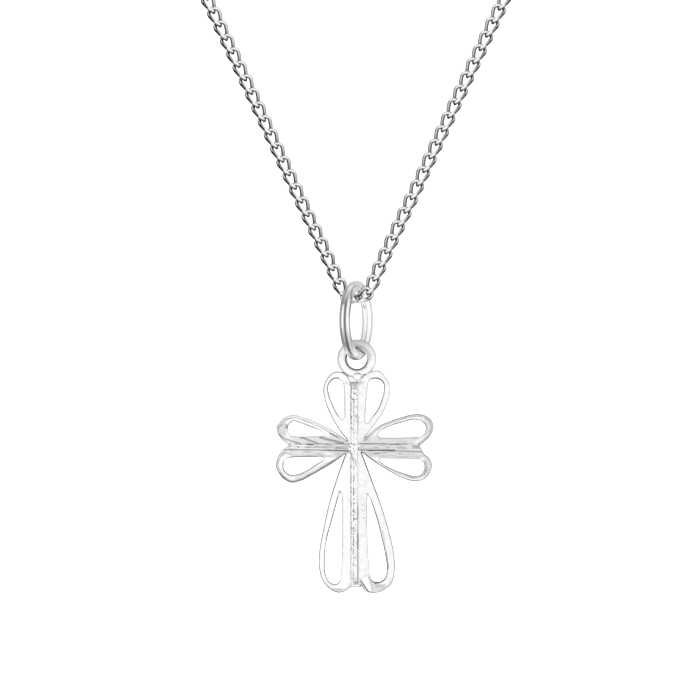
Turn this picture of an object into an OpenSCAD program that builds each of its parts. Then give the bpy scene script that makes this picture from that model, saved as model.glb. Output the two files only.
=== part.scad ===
// Openwork cross pendant on a fine curb chain.
// Millimetres. +Z is up and the front of the pendant faces -Y.
// The origin is the middle of the neck at the height of the nape.

/* [Chain] */
// Width of the curb chain across its links
chain_d = 1.2; // [0.8:0.05:1.25]
// Half length of the stretch at the nape that the clasp takes up
clasp_half = 5; // [4.6:0.1:5.5]

/* [Jump ring] */
// Outer diameter of the ring that hangs on the chain
ring_od = 7.6; // [7.2:0.1:8]
// Diameter of the ring's wire
ring_wire_d = 1.05; // [0.9:0.05:1.1]
// Angle by which the ring is turned from edge on towards face on
ring_yaw = 19.5; // [10:0.5:25]

/* [Eyelet] */
// Outer diameter of the cast eyelet on top of the cross
eyelet_od = 3.7; // [3.6:0.05:3.8]
// Diameter of the round stock of the eyelet
eyelet_stock_d = 0.9; // [0.8:0.05:0.95]

/* [Cross] */
// Overall scale of the cast cross, where 1 is 15 mm wide
cross_scale = 1; // [0.97:0.01:1.03]
// Depth of the cross behind its middle plane
back_depth = 0.55; // [0.4:0.05:0.7]
// Height of the petal rims before the middle plane
rim_height = 0.45; // [0.35:0.05:0.6]
// Height of the bars before the middle plane, where they meet the ridge
bar_height = 0.8; // [0.65:0.05:0.85]
// Height of the ridge before the middle plane
ridge_height = 1; // [0.9:0.05:1.2]
// Width of the raised ridge along the middle of each arm
ridge_w = 0.66; // [0.5:0.02:0.8]
// Place of the upright ridge's middle, to the right of the arms' crossing
upright_middle = -0.07; // [-0.15:0.01:0.05]
// Place of the level ridge's middle, above the arms' crossing
level_middle = -0.17; // [-0.2:0.01:0]
// Width of the bars and the ridge together
bars_w = 2.2; // [2:0.1:2.4]

/* [Clasp] */
// Radius of the clasp's ring, to the middle of its wire
clasp_ring_r = 2.5; // [2.2:0.1:2.7]
// Diameter of the clasp's wire
clasp_wire_d = 1.2; // [1:0.1:1.4]
// Diameter of the collars that the chain ends in
collar_d = 1.6; // [1.4:0.1:1.8]

/* [Hidden] */
$fn = 96;
silver = [0.86, 0.86, 0.87];

// Running clearance between the chain's lowest point and the ring above it
ring_gap = 0.14;
// Running clearance between the ring's wire and the eyelet above it
eyelet_gap = 0.05;
// Sides of the chain's tube
chain_sides = 8;
// Steps of the smooth curve between two points of the chain's route
route_steps = 2;
// Steps of the smooth curve between two points of an outline
outline_steps = 4;

// Half of the chain's route, from its lowest point round to the nape: [x, y, z].
// The lowest points bend round the jump ring, and the next ones are straight in front view.
HALF_ROUTE = [
    [0, -62, -112],
    [0.48, -62, -111.95],
    [0.9, -62, -111.7],
    [1.18, -62, -111.25],
    [1.62, -62, -110.2],
    [5.4, -62, -102],
    [10, -61.8, -92],
    [14.7, -61.2, -82],
    [19.4, -59.6, -72],
    [25, -56.2, -61],
    [31, -50.6, -50],
    [37.5, -42.6, -39],
    [43.8, -32.4, -28.5],
    [49.2, -20, -19],
    [52.2, -5.6, -11.2],
    [51.6, 9.8, -5.6],
    [47.6, 25, -2],
    [39.6, 38.4, -0.4],
    [27.8, 48.3, 0],
    [15, 53.3, 0],
    [clasp_half, 54.4, 0]
];
apex = HALF_ROUTE[0];
nape = HALF_ROUTE[len(HALF_ROUTE) - 1];

ring_wire_r = ring_wire_d / 2;
ring_r = ring_od / 2 - ring_wire_r;
// Small sideways steps from the chain's lowest point to the ring, and from it to the eyelet
side_step = 0.05;
ring_centre = apex + [side_step, 0, chain_d / 2 + ring_wire_r + ring_gap - ring_r];
ring_bottom = ring_centre - [0, 0, ring_r];

eyelet_r = (eyelet_od - eyelet_stock_d) / 2;
eyelet_hole_r = eyelet_r - eyelet_stock_d / 2;
eyelet_drop = eyelet_hole_r - ring_wire_r - eyelet_gap;
eyelet_centre = ring_bottom + [side_step, 0, -eyelet_drop];
// Place of the eyelet's middle over the crossing of the arms: [along x, along z]
eyelet_over_cross = [0.15, 8.2];
cross_centre = eyelet_centre - cross_scale * [eyelet_over_cross[0], 0, eyelet_over_cross[1]];
// The bead's radius, its place as the eyelet's, and its middle's height before the middle plane
bead_r = 0.42;
bead_over_cross = [0.15, 6.5];
bead_height = 0.15;
// Length of the ridges' stock before the petals' outline trims it
ridge_length = 40;

// Petals of the four arms, seen from the front, in mm from the crossing of the arms: [x, z].
// Each row is one petal: it leaves the hub beside the ridge, goes round the petal's end
// and comes back along the outer edge.
PETAL_OUTLINES = [
    // top arm, left
    [[-0.4, 6.05], [-0.8, 6.65], [-1.25, 6.95], [-1.95, 6.98], [-2.65, 6.4], [-3.02, 5.5],
     [-2.9, 4.4], [-2.5, 3.2], [-1.6, 1.55], [-0.5, 0.1]],
    // top arm, right
    [[0.4, 6.05], [0.8, 6.6], [1.35, 6.95], [2.2, 7.1], [2.95, 6.4], [3.34, 5.4],
     [3.2, 4.5], [2.7, 3.2], [1.9, 2], [0.6, 0.3]],
    // left arm, upper
    [[-6.3, 0], [-6.9, 0.5], [-7.35, 1.1], [-7.48, 1.7], [-7.1, 2.3], [-6.55, 2.75],
     [-5.8, 2.87], [-4.8, 2.64], [-3.7, 2.2], [-1.65, 1.1], [-0.5, 0.2]],
    // left arm, lower
    [[-6.3, 0], [-6.95, -0.5], [-7.4, -1.2], [-7.55, -1.85], [-7.3, -2.6], [-6.75, -3.25],
     [-6.1, -3.56], [-5.2, -3.4], [-4.1, -2.84], [-2, -1.6], [-0.5, -0.5]],
    // right arm, upper
    [[6.15, 0], [6.6, 0.35], [7.15, 0.9], [7.45, 1.6], [7.3, 2.3], [6.75, 2.78],
     [6.1, 2.96], [5.1, 2.86], [4, 2.55], [2.1, 1.75], [0.6, 0.4]],
    // right arm, lower
    [[6.15, -0.05], [6.55, -0.8], [7.05, -1.2], [7.3, -1.95], [7.05, -2.7], [6.5, -3.25],
     [5.65, -3.42], [4.55, -3.15], [3.45, -2.6], [1.3, -1.2], [0.4, -0.5]],
    // bottom arm, left
    [[-0.3, -13.3], [-0.75, -13.75], [-1.5, -14.02], [-2.5, -13.6], [-3.15, -12.75],
     [-3.46, -11.5], [-3.44, -10.3], [-3.05, -8], [-2.5, -5.5], [-1.9, -3.5], [-0.8, -0.4]],
    // bottom arm, right
    [[0.55, -13.3], [0.85, -13.75], [1.5, -14.05], [2.65, -13.8], [3.45, -13.15],
     [3.77, -11.9], [3.7, -10.3], [3.35, -8.6], [2.85, -6.8], [1.5, -3], [0.6, -0.6]]
];

// Spines that join the petals under the ridges: [x, z] of the low and the high corner
SPINES = [
    [[-0.42, -13.3], [0.56, 6.05]],
    [[-6.3, -0.42], [6.15, 0.42]]
];

// Open windows of the petals, in the same order and axes
PETAL_WINDOWS = [
    // top arm, left and right
    [[-1.15, 5.85], [-1.1, 5.4], [-1.06, 3.2], [-1.06, 2.75], [-1.22, 2.48], [-1.5, 2.75],
     [-2.1, 3.8], [-2.5, 4.9], [-2.58, 5.5], [-2.4, 5.95], [-1.9, 6.32], [-1.4, 6.2]],
    [[1.24, 5.85], [1.18, 5.4], [0.98, 2.8], [0.95, 2.35], [1.12, 2.14], [1.5, 2.6],
     [2.05, 3.3], [2.5, 4.3], [2.72, 5.3], [2.65, 5.9], [2.35, 6.2], [1.8, 6.32], [1.42, 6.18]],
    // left arm, upper and lower
    [[-3.7, 0.88], [-3.2, 0.88], [-2.9, 0.98], [-3.3, 1.35], [-4.25, 1.8], [-5.2, 2.18],
     [-6.05, 2.32], [-6.45, 1.95], [-6.5, 1.4], [-6.2, 0.96], [-5.7, 0.88]],
    [[-3.7, -1.12], [-3.25, -1.1], [-2.98, -1.2], [-3.75, -1.85], [-4.6, -2.45], [-5.4, -2.82],
     [-6.25, -2.8], [-6.75, -2.3], [-6.75, -1.65], [-6.4, -1.25], [-5.8, -1.17]],
    // right arm, upper and lower
    [[2.9, 0.75], [2.45, 0.76], [2.12, 0.98], [2.45, 1.45], [3.4, 1.95], [4.55, 2.3],
     [5.65, 2.48], [6.35, 2.25], [6.68, 1.75], [6.58, 1.15], [6.2, 0.84], [5.7, 0.8]],
    [[3.1, -1.28], [2.6, -1.26], [2.32, -1.36], [2.7, -1.82], [3.7, -2.38], [4.9, -2.8],
     [5.65, -2.96], [6.2, -2.8], [6.55, -2.25], [6.5, -1.7], [6.15, -1.38], [5.6, -1.33]],
    // bottom arm, left and right
    [[-1.4, -4.6], [-1.28, -4.95], [-1.28, -5.5], [-1.36, -12.2], [-1.4, -12.75], [-1.8, -13.16],
     [-2.35, -13.05], [-2.75, -12.4], [-2.87, -11], [-2.7, -9], [-2.3, -7.5], [-1.85, -5.9],
     [-1.58, -4.95]],
    [[1.24, -4.8], [1.13, -5.15], [1.14, -5.8], [1.36, -11.8], [1.42, -12.4], [1.7, -12.9],
     [2.25, -12.98], [2.8, -12.65], [3, -11.6], [2.86, -10.5], [2.45, -8.6], [2.05, -7],
     [1.65, -5.8], [1.4, -5.1]]
];

// Smooth curve through points: the tangent at a point weighs the two chords beside it
function chord(points, i) = points[i + 1] - points[i];
function inner_tangent(points, i) =
    let (before = norm(chord(points, i - 1)), after = norm(chord(points, i)))
    (chord(points, i - 1) * after / before + chord(points, i) * before / after) / (before + after);
function tangent(points, i) =
    i == 0 ? chord(points, 0) / norm(chord(points, 0)) :
    i == len(points) - 1 ? chord(points, i - 1) / norm(chord(points, i - 1)) :
    inner_tangent(points, i);
function curve_point(points, i, t) =
    let (span = norm(chord(points, i)))
    (2 * t ^ 3 - 3 * t ^ 2 + 1) * points[i] + (t ^ 3 - 2 * t ^ 2 + t) * span * tangent(points, i)
    + (3 * t ^ 2 - 2 * t ^ 3) * points[i + 1] + (t ^ 3 - t ^ 2) * span * tangent(points, i + 1);
function open_curve(points, steps) = [
    for (i = [0 : len(points) - 2]) for (k = [0 : steps - 1]) curve_point(points, i, k / steps),
    points[len(points) - 1]
];
// The same curve closed on itself: it runs over one point more at each end, which is cut off
function closed_curve(points, steps) =
    let (
        count = len(points),
        wrapped = [for (i = [-1 : count + 1]) points[(i + count) % count]],
        curve = open_curve(wrapped, steps)
    )
    [for (i = [steps : steps * (count + 1) - 1]) curve[i]];

// Points of a ring of the tube about a route point, square to the route's direction
function tube_ring(centre, direction, radius, sides) =
    let (
        side = cross(direction, [0, 0, 1]),
        across = norm(side) < 0.01 ? [1, 0, 0] : side / norm(side),
        upward = cross(across, direction)
    )
    [for (k = [0 : sides - 1])
        centre + radius * (cos(360 * (k + 0.5) / sides) * across + sin(360 * (k + 0.5) / sides) * upward)];
// Direction of the route, which runs straight towards -X at both ends
function route_direction(route, i) =
    let (step = route[min(i + 1, len(route) - 1)] - route[max(i - 1, 0)])
    i == 0 || i == len(route) - 1 ? [-1, 0, 0] : step / norm(step);

// Round tube along a route, closed by a flat face at each end
module tube(route, radius, sides) {
    rings = len(route);
    points = [for (i = [0 : rings - 1]) each tube_ring(route[i], route_direction(route, i), radius, sides)];
    walls = [for (i = [0 : rings - 2]) for (k = [0 : sides - 1])
        let (next = (k + 1) % sides)
        [i * sides + k, i * sides + next, (i + 1) * sides + next, (i + 1) * sides + k]];
    first_end = [for (k = [0 : sides - 1]) sides - 1 - k];
    last_end = [for (k = [0 : sides - 1]) (rings - 1) * sides + k];
    polyhedron(points = points, faces = concat([first_end], walls, [last_end]), convexity = 10);
}

// Chain: the whole loop from one side of the clasp to the other
module chain() {
    right_half = open_curve(HALF_ROUTE, route_steps);
    left_half = [for (i = [len(right_half) - 1 : -1 : 1]) let (p = right_half[i]) [-p[0], p[1], p[2]]];
    color(silver) tube(concat(left_half, right_half), chain_d / 2, chain_sides);
}

// Clasp: a plain ring between the two collars that the chain's ends meet
module clasp() {
    collar_length = clasp_half - clasp_ring_r;
    color(silver) translate([0, nape[1], nape[2]]) {
        rotate([90, 0, 0]) rotate_extrude() translate([clasp_ring_r, 0]) circle(d = clasp_wire_d);
        for (side = [-1, 1])
            translate([side * (clasp_half - collar_length / 2), 0, 0])
                rotate([0, 90, 0]) cylinder(d = collar_d, h = collar_length, center = true);
    }
}

// Jump ring: round wire that hangs on the chain's lowest point and carries the eyelet
module jump_ring() {
    color(silver) translate(ring_centre) rotate([0, 0, -ring_yaw]) rotate([0, 90, 0])
        rotate_extrude() translate([ring_r, 0]) circle(d = ring_wire_d);
}

// Flat outline of the petals with their windows, seen from the front
module petals() {
    difference() {
        union() {
            for (outline = PETAL_OUTLINES)
                polygon(concat([[0, 0]], open_curve(outline, outline_steps)));
            for (corners = SPINES)
                translate(corners[0]) square(corners[1] - corners[0]);
        }
        for (window = PETAL_WINDOWS)
            polygon(closed_curve(window, outline_steps));
    }
}

// The petals as a plate from the back of the cross up to a height before its middle plane
module petal_plate(height) {
    rotate([90, 0, 0]) translate([0, 0, -back_depth]) linear_extrude(back_depth + height) petals();
}

// Long prism over both arms' lengths: bars that slope up from the windows to the ridge
module ridge_prism(length) {
    translate([0, 0, -length / 2]) linear_extrude(length) polygon([
        [-bars_w / 2, 0],
        [-bars_w / 2, -rim_height],
        [-ridge_w / 2, -bar_height],
        [-ridge_w / 2, -ridge_height],
        [ridge_w / 2, -ridge_height],
        [ridge_w / 2, -bar_height],
        [bars_w / 2, -rim_height],
        [bars_w / 2, 0]
    ]);
}

// Eyelet: round stock bent to a ring, cast on top of the cross
module eyelet() {
    translate([eyelet_over_cross[0], 0, eyelet_over_cross[1]]) rotate([90, 0, 0])
        rotate_extrude() translate([eyelet_r, 0]) circle(d = eyelet_stock_d);
}

// Bead: small round grain in the wedge between the top petals and the eyelet
module bead() {
    translate([bead_over_cross[0], -bead_height, bead_over_cross[1]]) sphere(r = bead_r);
}

// Cross: one casting of petals, bars, ridge, bead and eyelet
module cross_pendant() {
    color(silver) translate(cross_centre) scale(cross_scale) {
        petal_plate(rim_height);
        intersection() {
            petal_plate(ridge_height);
            union() {
                translate([upright_middle, 0, 0]) ridge_prism(ridge_length);
                translate([0, 0, level_middle]) rotate([0, 90, 0]) ridge_prism(ridge_length);
            }
        }
        eyelet();
        bead();
    }
}

chain();
clasp();
jump_ring();
cross_pendant();  // cross
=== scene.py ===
"""Looks of the cross pendant and its curb chain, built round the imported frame.

Metres, with +Z up and the front of the pendant facing -Y. The pieces are first made in
millimetres, in the frame's own axes, and MM turns them into metres.
"""
import math

import bpy
import numpy as np
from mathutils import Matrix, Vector, noise
from mathutils.geometry import delaunay_2d_cdt
from mathutils.kdtree import KDTree


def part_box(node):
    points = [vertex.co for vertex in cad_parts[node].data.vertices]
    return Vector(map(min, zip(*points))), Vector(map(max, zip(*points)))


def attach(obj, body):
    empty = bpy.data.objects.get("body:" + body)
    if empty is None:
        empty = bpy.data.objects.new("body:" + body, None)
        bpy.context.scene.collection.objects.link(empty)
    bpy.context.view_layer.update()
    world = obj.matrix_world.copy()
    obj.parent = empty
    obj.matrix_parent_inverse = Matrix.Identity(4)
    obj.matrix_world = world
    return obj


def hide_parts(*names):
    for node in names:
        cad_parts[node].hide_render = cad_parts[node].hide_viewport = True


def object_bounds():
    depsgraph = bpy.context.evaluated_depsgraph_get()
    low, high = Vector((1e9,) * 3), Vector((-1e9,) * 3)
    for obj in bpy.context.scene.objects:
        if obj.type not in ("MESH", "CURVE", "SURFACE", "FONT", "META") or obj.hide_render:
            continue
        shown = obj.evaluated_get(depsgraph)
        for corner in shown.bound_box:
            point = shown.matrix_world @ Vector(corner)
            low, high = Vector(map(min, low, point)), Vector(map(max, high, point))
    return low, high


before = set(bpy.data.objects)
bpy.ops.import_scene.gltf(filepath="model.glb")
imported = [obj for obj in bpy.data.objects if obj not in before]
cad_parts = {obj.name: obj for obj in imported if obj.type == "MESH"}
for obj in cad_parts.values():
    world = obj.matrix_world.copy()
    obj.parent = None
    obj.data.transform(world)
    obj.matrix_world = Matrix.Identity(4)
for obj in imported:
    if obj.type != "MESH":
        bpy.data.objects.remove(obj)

MM = 0.001
cad_low, cad_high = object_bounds()
scene = bpy.context.scene

# Camera: a long lens, level with the pendant and straight before it
PHOTO_PIXELS = 700
MM_PER_PIXEL = 0.095
SENSOR_MM = 36
CAMERA_DISTANCE = 0.8
CAMERA_CLIP = (0.01, 100)
VIEW_CENTRE = (-0.000543, -0.062, -0.116814)

# Floor: plain pale paper with an even light of its own
FLOOR_SIZE = 12
FLOOR_DROP = 0.03
FLOOR_GREY = 0.93
FLOOR_ROUGHNESS = 0.9

# Chain: half of its route in mm, from its lowest point round to the clasp's collar
HALF_ROUTE = [
    (0, -62, -112), (0.48, -62, -111.95), (0.9, -62, -111.7), (1.18, -62, -111.25),
    (1.62, -62, -110.2), (5.4, -62, -102), (10, -61.8, -92), (14.7, -61.2, -82), (19.4, -59.6, -72),
    (25, -56.2, -61), (31, -50.6, -50), (37.5, -42.6, -39), (43.8, -32.4, -28.5),
    (49.2, -20, -19), (52.2, -5.6, -11.2), (51.6, 9.8, -5.6), (47.6, 25, -2),
    (39.6, 38.4, -0.4), (27.8, 48.3, 0), (15, 53.3, 0), (5, 54.4, 0),
]
ROUTE_STEPS = 12
LINK_PITCH = 1.42
LINK_WIRE_R = 0.182
LINK_HALF_WIDTH = 0.55
# How far the links lie to the outer side of the route
LINK_SHIFT = 0.075
LINK_TWIST = math.radians(46)
LINK_TURN = math.radians(-42)
LINK_SEGMENTS = 36
LINK_SIDES = 12
# Height of the flat cut faces of the links before and behind the chain's middle
LINK_FLAT = 0.5
# Side of a link, as (along, across), that is painted lightest as if lit from there, and the painted shade
# there and opposite
LINK_LIT_SIDE = (0.42, 0.91)
LINK_SHADE = (0.3, 1)
# Share of the painted shade that the right half of the chain has
RIGHT_SHADE_SHARE = 0.9
# How squarely a spot faces outward where the painted highlight begins, on the lit side and opposite,
# and half the width of its soft edge
LINK_HIGHLIGHT_FACING = (0.44, 1.1)
HIGHLIGHT_EDGE = 0.1
# Depth below the chain's middle where the painted highlight ends
HIGHLIGHT_DEPTH = 0.4
# Painted dark reflection on a link's outer side: share by the place along, how far it faces away
LINK_DARK_REFLECTION = [(-0.4, 0), (-0.28, 1), (0.3, 1), (0.45, 0)]
DARK_REFLECTION_AWAY = (0.22, 0.4)
# Distances along the route from its lowest point to the joints of the lowest links
LEFT_JOINT = -1.13
LOWEST_JOINT = 0.17
RIGHT_JOINT = 1.475
# Rounds of correction that bring each next joint to the distance of one pitch
JOINT_ROUNDS = 6
# How far the last link may reach into the clasp's collar
COLLAR_REACH = 1.2
# Painted highlight on the lowest links, as corners across and up, and the share of painted shade left
# there
APEX_HIGHLIGHT = [((-0.32, -112.47), (1.48, -111.97)), ((0.65, -111.57), (1.03, -111.0))]
APEX_HIGHLIGHT_SHARE = 0.25
# Half sizes of the rounded block that stands for the neck, which the links lie flat on
NECK_HALF = (52, 60)
NECK_POWER = 3

# Jump ring
RING_R = 3.275
RING_WIRE_R = 0.519
RING_YAW = math.radians(19.5)
RING_SEGMENTS = 160
RING_SIDES = 40

# Clasp
CLASP_RING_R = 2.5
CLASP_WIRE_R = 0.6
CLASP_SEGMENTS = 96
CLASP_SIDES = 24
COLLAR_R = 0.8
COLLAR_LENGTH = 2.5
# Rounded end of a collar and the groove round it: distance from the end, and depth below COLLAR_R
COLLAR_END = [(0, 0.25), (0.06, 0.1), (0.16, 0.02), (0.26, 0)]
COLLAR_GROOVE = [(0.9, 0), (0.95, 0.02), (1.0, 0.12), (1.06, 0.12), (1.11, 0.02), (1.16, 0)]

# Cross, in mm from the crossing of its arms: x to the right, z up, height towards the front
BACK_DEPTH = 0.55
RIM_HEIGHT = 0.45
BAR_HEIGHT = 0.8
RIDGE_HEIGHT = 1.0
BAR_SLOPE = 0.45
END_SLOPE = 0.7
CAST_FROST = 0.55
EYELET_PLACE = (0.15, 8.2)
EYELET_R = 1.4
EYELET_STOCK_R = 0.45
EYELET_SEGMENTS = 128
EYELET_SIDES = 48
BEAD_PLACE = (0.15, 6.5)
BEAD_R = 0.42
BEAD_HEIGHT = 0.15

# Outlines of the petals: each leaves the hub beside the ridge and comes back along the outer edge
PETAL_OUTLINES = [
    # top arm, left and right
    [(-0.4, 6.05), (-0.8, 6.65), (-1.25, 6.95), (-1.95, 6.98), (-2.65, 6.4), (-3.02, 5.5),
     (-2.9, 4.4), (-2.5, 3.2), (-1.6, 1.55), (-0.5, 0.1)],
    [(0.4, 6.05), (0.8, 6.6), (1.35, 6.95), (2.2, 7.1), (2.95, 6.4), (3.34, 5.4),
     (3.2, 4.5), (2.7, 3.2), (1.9, 2), (0.6, 0.3)],
    # left arm, upper and lower
    [(-6.3, 0), (-6.9, 0.5), (-7.35, 1.1), (-7.48, 1.7), (-7.1, 2.3), (-6.55, 2.75),
     (-5.8, 2.87), (-4.8, 2.64), (-3.7, 2.2), (-1.65, 1.1), (-0.5, 0.2)],
    [(-6.3, 0), (-6.95, -0.5), (-7.4, -1.2), (-7.55, -1.85), (-7.3, -2.6), (-6.75, -3.25),
     (-6.1, -3.56), (-5.2, -3.4), (-4.1, -2.84), (-2, -1.6), (-0.5, -0.5)],
    # right arm, upper and lower
    [(6.15, 0), (6.6, 0.35), (7.15, 0.9), (7.45, 1.6), (7.3, 2.3), (6.75, 2.78),
     (6.1, 2.96), (5.1, 2.86), (4, 2.55), (2.1, 1.75), (0.6, 0.4)],
    [(6.15, -0.05), (6.55, -0.8), (7.05, -1.2), (7.3, -1.95), (7.05, -2.7), (6.5, -3.25),
     (5.65, -3.42), (4.55, -3.15), (3.45, -2.6), (1.3, -1.2), (0.4, -0.5)],
    # bottom arm, left and right
    [(-0.3, -13.3), (-0.75, -13.75), (-1.5, -14.01), (-2.5, -13.6), (-3.15, -12.75),
     (-3.46, -11.5), (-3.44, -10.3), (-3.05, -8), (-2.5, -5.5), (-1.9, -3.5), (-0.8, -0.4)],
    [(0.55, -13.3), (0.85, -13.75), (1.5, -14.04), (2.65, -13.8), (3.45, -13.15),
     (3.77, -11.9), (3.7, -10.3), (3.35, -8.6), (2.85, -6.8), (1.5, -3), (0.6, -0.6)],
]
# Spines that join the petals under the ridges: the low and the high corner
SPINES = [
    [(-0.42, -13.5), (0.56, 6.05)],
    [(-6.3, -0.42), (6.15, 0.42)],
]
# Open windows of the petals, in the same order
PETAL_WINDOWS = [
    [(-1.15, 5.85), (-1.1, 5.4), (-1.06, 3.2), (-1.06, 2.75), (-1.22, 2.48), (-1.5, 2.75),
     (-2.1, 3.8), (-2.5, 4.9), (-2.58, 5.5), (-2.4, 5.95), (-1.9, 6.32), (-1.4, 6.2)],
    [(1.24, 5.85), (1.18, 5.4), (0.98, 2.8), (0.95, 2.35), (1.12, 2.14), (1.5, 2.6),
     (2.05, 3.3), (2.5, 4.3), (2.72, 5.3), (2.65, 5.9), (2.35, 6.2), (1.8, 6.32), (1.42, 6.18)],
    [(-3.7, 0.88), (-3.2, 0.88), (-2.9, 0.98), (-3.3, 1.32), (-4.25, 1.73), (-5.2, 2.09),
     (-5.95, 2.24), (-6.28, 1.95), (-6.38, 1.4), (-6.15, 0.96), (-5.7, 0.88)],
    [(-3.7, -1.12), (-3.25, -1.1), (-2.98, -1.2), (-3.75, -1.82), (-4.6, -2.37), (-5.4, -2.73),
     (-6.25, -2.76), (-6.75, -2.3), (-6.75, -1.65), (-6.4, -1.25), (-5.8, -1.17)],
    [(2.9, 0.75), (2.45, 0.76), (2.16, 0.98), (2.5, 1.38), (3.4, 1.83), (4.55, 2.18),
     (5.65, 2.42), (6.35, 2.25), (6.68, 1.75), (6.58, 1.15), (6.2, 0.84), (5.7, 0.8)],
    [(3.1, -1.28), (2.6, -1.26), (2.32, -1.36), (2.7, -1.8), (3.7, -2.31), (4.9, -2.73),
     (5.65, -2.9), (6.2, -2.8), (6.55, -2.25), (6.5, -1.7), (6.15, -1.38), (5.6, -1.33)],
    [(-1.4, -4.6), (-1.28, -4.95), (-1.28, -5.5), (-1.36, -12.2), (-1.4, -12.75),
     (-1.8, -13.16), (-2.35, -13.05), (-2.75, -12.4), (-2.87, -11), (-2.7, -9), (-2.3, -7.5),
     (-1.85, -5.9), (-1.58, -4.95)],
    [(1.24, -4.8), (1.13, -5.15), (1.14, -5.8), (1.36, -11.8), (1.42, -12.4), (1.7, -12.9),
     (2.25, -12.98), (2.8, -12.65), (3, -11.6), (2.86, -10.5), (2.45, -8.6), (2.05, -7),
     (1.65, -5.8), (1.4, -5.1)],
]
# Spacing of the mesh's points along the outlines, over the front, over the back and along the ridges
OUTLINE_STEP = 0.07
FACE_STEP = 0.06
BACK_STEP = 0.14
RIDGE_STEP = 0.045
# Corners of the grid of points, and how clear of all other points it stays, as a share of its step
GRID_LOW = (-7.8, -14.2)
GRID_HIGH = (7.8, 7.3)
GRID_CLEARANCE = 0.6
# Radius of the round along the front's edges, distances of the rows of points along the edges of the
# front and of the back, and the share of its distance that a row keeps from every other edge
EDGE_ROUND = 0.2
EDGE_ROWS = [0.012, 0.035, 0.07, 0.11, 0.15, 0.2]
BACK_ROWS = [0.02, 0.07, 0.14]
ROW_CLEARANCE = 0.93
# Rows of faces of the walls between front and back, and the painted shade of the walls
WALL_ROWS = 3
WALL_SHADE = 0.2
# Kind of triangulation that keeps to the inside of the shapes, and distances within which corners
# of the outlines, and points of the mesh, are one
INNER_TRIANGLES = 1
SAME_CORNER = 1e-5
SAME_POINT = 1e-6


def smooth_curve(points, steps, closed=False):
    """Smooth curve through points, whose tangents weigh the two chords beside each point."""
    points = np.array(points, float)
    if closed:
        points = np.concatenate([points[-1:], points, points[:2]])
    chords = np.diff(points, axis=0)
    spans = np.linalg.norm(chords, axis=1)[:, None]
    units = chords / spans
    inner = (units[:-1] * spans[1:] + units[1:] * spans[:-1]) / (spans[:-1] + spans[1:])
    tangents = np.concatenate([units[:1], inner, units[-1:]])
    curve = []
    first, last = (1, len(chords) - 1) if closed else (0, len(chords))
    for i in range(first, last):
        count = steps if isinstance(steps, int) else max(1, round(float(spans[i, 0] / steps)))
        t = (np.arange(count) / count)[:, None]
        curve.append(
            (2 * t**3 - 3 * t**2 + 1) * points[i]
            + (t**3 - 2 * t**2 + t) * spans[i] * tangents[i]
            + (3 * t**2 - 2 * t**3) * points[i + 1]
            + (t**3 - t**2) * spans[i] * tangents[i + 1]
        )
    if not closed:
        curve.append(points[-1:])
    return np.concatenate(curve)


def unit(vectors):
    return vectors / np.linalg.norm(vectors, axis=-1, keepdims=True)


def make_piece(name, points_mm, faces, body, slot, replaced, material, **surface):
    """A smooth piece from points in mm, which rides on a body and stands for a CAD node.

    Its surface is given as a share at each point for tarnish with painted shade, and for frost.
    """
    mesh = bpy.data.meshes.new(name)
    mesh.from_pydata((np.asarray(points_mm) * MM).tolist(), [], faces)
    mesh.shade_smooth()
    mesh.materials.append(material)
    for kind, shares in surface.items():
        layer = mesh.attributes.new(kind, "FLOAT", "POINT")
        layer.data.foreach_set("value", np.asarray(shares, np.float32))
    piece = bpy.data.objects.new(name, mesh)
    scene.collection.objects.link(piece)
    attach(piece, body)
    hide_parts(replaced)


def rise(low, high, values):
    """0 below the low value, 1 above the high one, with a smooth rise between them."""
    share = np.clip((values - low) / (high - low), 0, 1)
    return share * share * (3 - 2 * share)


def fall(low, high, values):
    """1 below the low value, 0 above the high one."""
    return 1 - rise(low, high, values)


def grid_faces(rings, sides, closed):
    """Quads of a tube of rings of points, closed on itself or open."""
    faces = []
    for i in range(rings if closed else rings - 1):
        j = (i + 1) % rings
        for k in range(sides):
            m = (k + 1) % sides
            faces.append([i * sides + k, i * sides + m, j * sides + m, j * sides + k])
    return faces


def angles(count):
    """Angles spread evenly over a full turn."""
    return np.linspace(0, 2 * np.pi, count, endpoint=False)


def torus_angles(segments, sides):
    """Angles round a torus, as a column, and about its wire, as a row."""
    return angles(segments)[:, None], angles(sides)[None, :]


def torus(centre, across, upward, radius, wire_radius, segments, sides):
    """Points and faces of a torus in the plane of two unit vectors."""
    centre, across, upward = (np.array(v, float) for v in (centre, across, upward))
    around, about = (turn[..., None] for turn in torus_angles(segments, sides))
    outward = np.cos(around) * across + np.sin(around) * upward
    points = centre + outward * (radius + wire_radius * np.cos(about))
    points = points - np.cross(across, upward) * wire_radius * np.sin(about)
    return points.reshape(-1, 3), grid_faces(segments, sides, closed=True)


def join(*parts):
    """Points and faces of several closed shapes as one mesh."""
    points, faces, start = [], [], 0
    for part_points, part_faces in parts:
        points.append(np.asarray(part_points, float))
        faces.extend([[start + i for i in face] for face in part_faces])
        start += len(part_points)
    return np.concatenate(points), faces


# Camera

camera_data = bpy.data.cameras.new("camera")
camera_data.sensor_width = SENSOR_MM
camera_data.lens = SENSOR_MM * CAMERA_DISTANCE / (PHOTO_PIXELS * MM_PER_PIXEL * MM)
camera_data.clip_start, camera_data.clip_end = CAMERA_CLIP
camera = bpy.data.objects.new("camera", camera_data)
camera.location = Vector(VIEW_CENTRE) - Vector((0, CAMERA_DISTANCE, 0))
camera.rotation_euler = (math.pi / 2, 0, 0)
scene.collection.objects.link(camera)
scene.camera = camera
scene.view_settings.view_transform = "Standard"


# Studio: a light tent whose panels leave darker stretches at the sides and in the lower corners

# Angle to the right of the front in degrees, and brightness of the walls there
WALLS = [(-180, 0.6), (-158, 0.6), (-148, 0.18), (-82, 0.18), (-72, 1.06),
         (90, 1.06), (100, 0.35), (148, 0.35), (158, 0.6), (180, 0.6)]
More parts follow.
